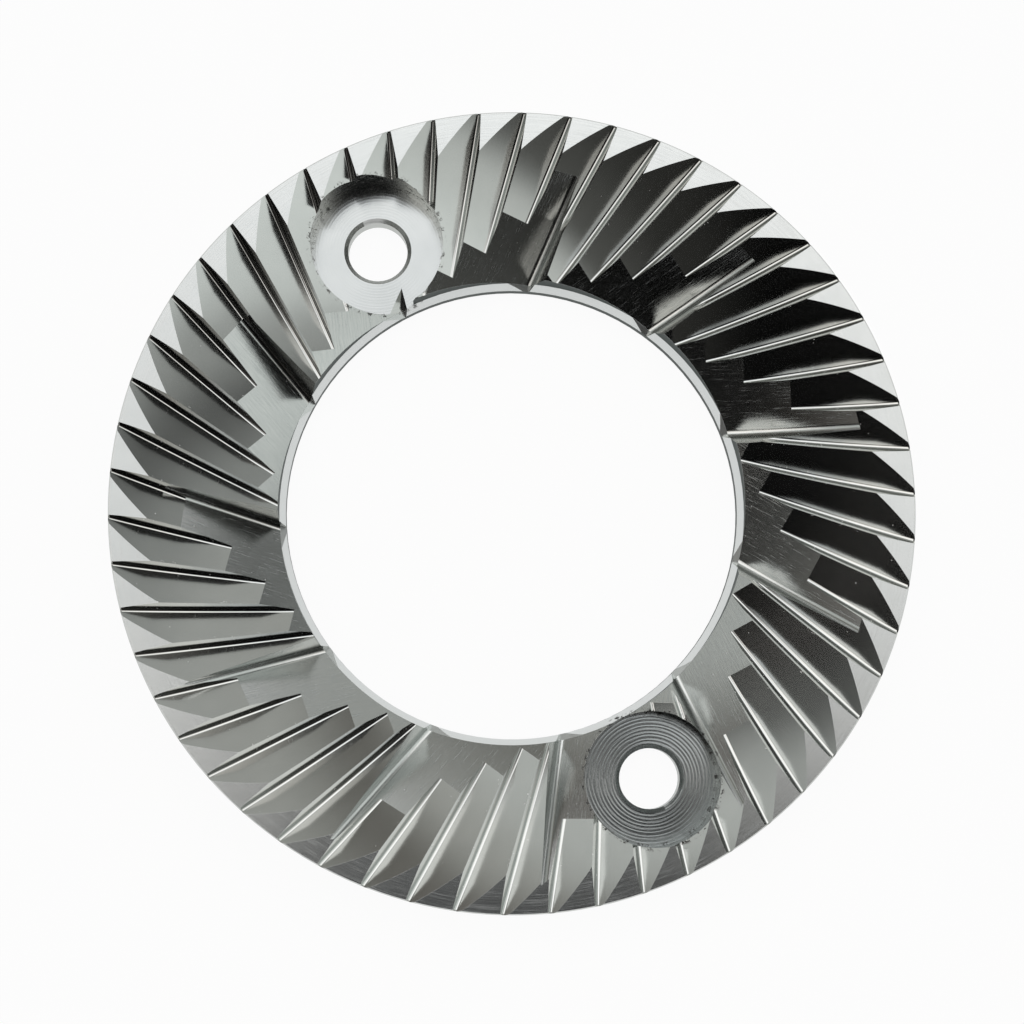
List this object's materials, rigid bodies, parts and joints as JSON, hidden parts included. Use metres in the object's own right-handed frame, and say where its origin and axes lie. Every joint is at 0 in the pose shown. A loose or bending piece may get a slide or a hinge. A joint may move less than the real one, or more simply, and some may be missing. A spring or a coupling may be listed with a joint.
{
  "type": "coffee grinder burr",
  "caption": "Flat steel ring burr with slanting ground teeth, deeper breaker pockets at the bore and two flat-floored screw recesses through its face.",
  "frame": {"origin": "centre of the bore at the plain back face", "axes": "+Z along the bore axis, out of the toothed face; +X and +Y are to the right and up when the toothed face is looked at with the first screw recess at the upper left"},
  "size_m": [0.08, 0.08, 0.008],
  "materials": {
    "ground_steel": "ground and lightly worn hardened steel"
  },
  "bodies": {
    "root": {"burr_ring": "ground_steel"}
  },
  "joints": []
}
